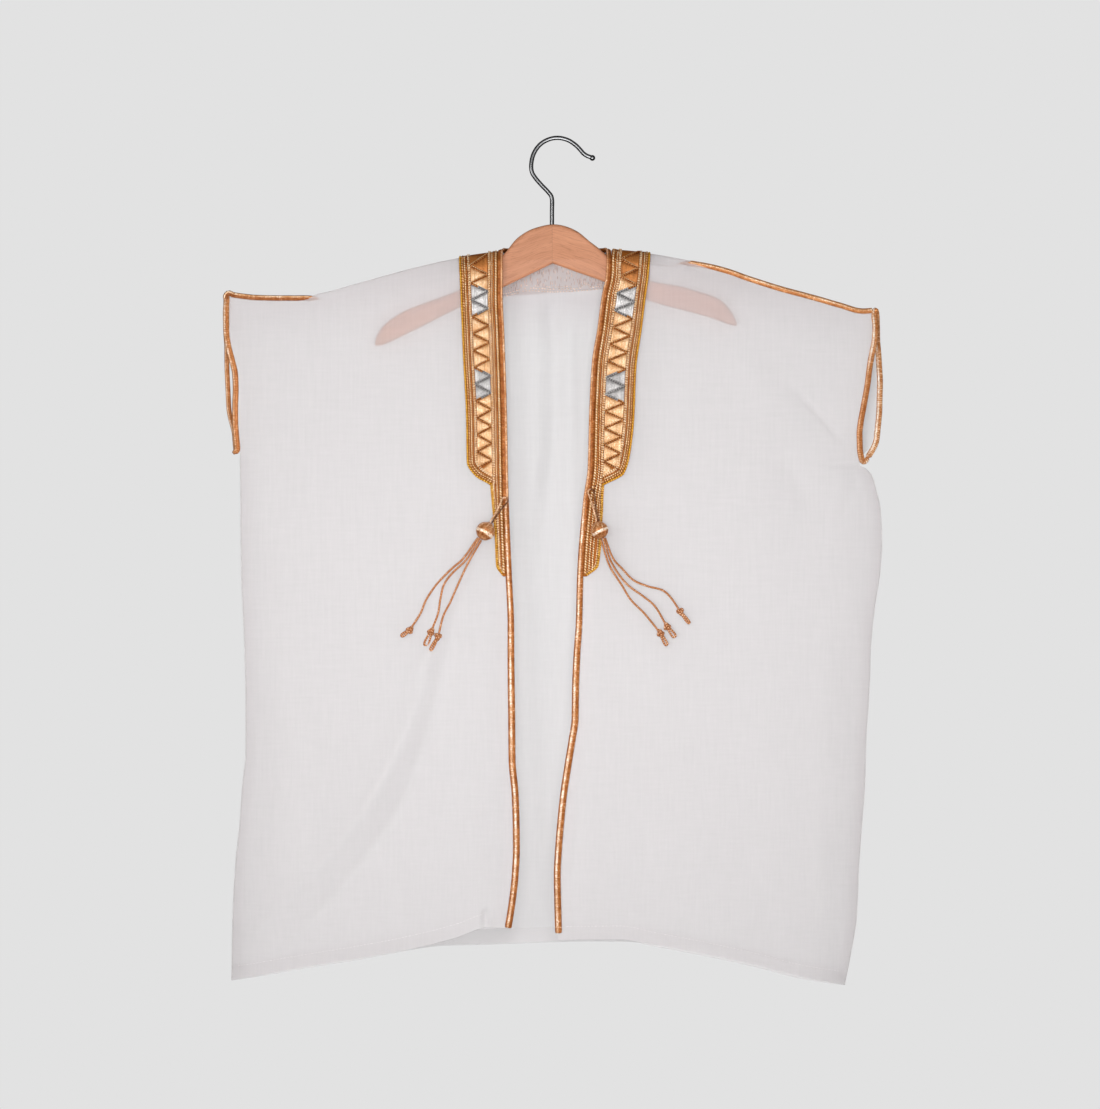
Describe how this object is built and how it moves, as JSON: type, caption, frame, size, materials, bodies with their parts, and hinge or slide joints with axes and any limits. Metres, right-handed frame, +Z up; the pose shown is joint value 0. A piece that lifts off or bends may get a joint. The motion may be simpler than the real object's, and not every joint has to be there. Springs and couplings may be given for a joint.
{
  "type": "bisht cloak on a clothes hanger",
  "caption": "Open-fronted bisht cloak in sheer white cloth with gold-thread bands, copper braid edging and tassels, hanging flat on a small wooden hanger.",
  "frame": {"origin": "inside of the hook's crown, where a rail or peg carries the hanger", "axes": "+Z up, +X to the right as seen from the front, -Y towards the viewer on the side where the cloak is open"},
  "size_m": [0.562, 0.0464, 0.7218],
  "materials": {
    "voile": "sheer white plain-weave voile",
    "zari_band": "gold and copper metal-thread embroidery",
    "zari_braid": "flat two-ply braid of copper metal thread",
    "tassel_cord": "twisted copper metal-thread cord",
    "tassel_bead": "bead wound and woven over with metal thread",
    "hanger_wood": "smooth sealed light wood",
    "hook_steel": "polished plated steel wire"
  },
  "bodies": {
    "root": {"back_panel": "voile", "front_panel_L": "voile", "front_panel_R": "voile", "neckband_L": "zari_band", "neckband_R": "zari_band", "neckband_back": "zari_band", "narrow_band_L": "zari_band", "narrow_band_R": "zari_band", "front_braid_L": "zari_braid", "front_braid_R": "zari_braid", "neck_braid": "zari_braid", "shoulder_braid_L": "zari_braid", "shoulder_braid_R": "zari_braid", "cuff_braid_L": "zari_braid", "cuff_braid_R": "zari_braid", "hanger_body": "hanger_wood", "hanger_hook": "hook_steel", "loop_L": "tassel_cord", "loop_R": "tassel_cord", "bead_L": "tassel_bead", "bead_R": "tassel_bead", "cord_L_a": "tassel_cord", "cord_L_b": "tassel_cord", "cord_L_c": "tassel_cord", "cord_R_a": "tassel_cord", "cord_R_b": "tassel_cord", "cord_R_c": "tassel_cord", "knot_L_a": "tassel_cord", "knot_L_b": "tassel_cord", "knot_L_c": "tassel_cord", "knot_R_a": "tassel_cord", "knot_R_b": "tassel_cord", "knot_R_c": "tassel_cord", "tail_L_a": "tassel_cord", "tail_L_b": "tassel_cord", "tail_L_c": "tassel_cord", "tail_R_a": "tassel_cord", "tail_R_b": "tassel_cord", "tail_R_c": "tassel_cord"}
  },
  "joints": []
}
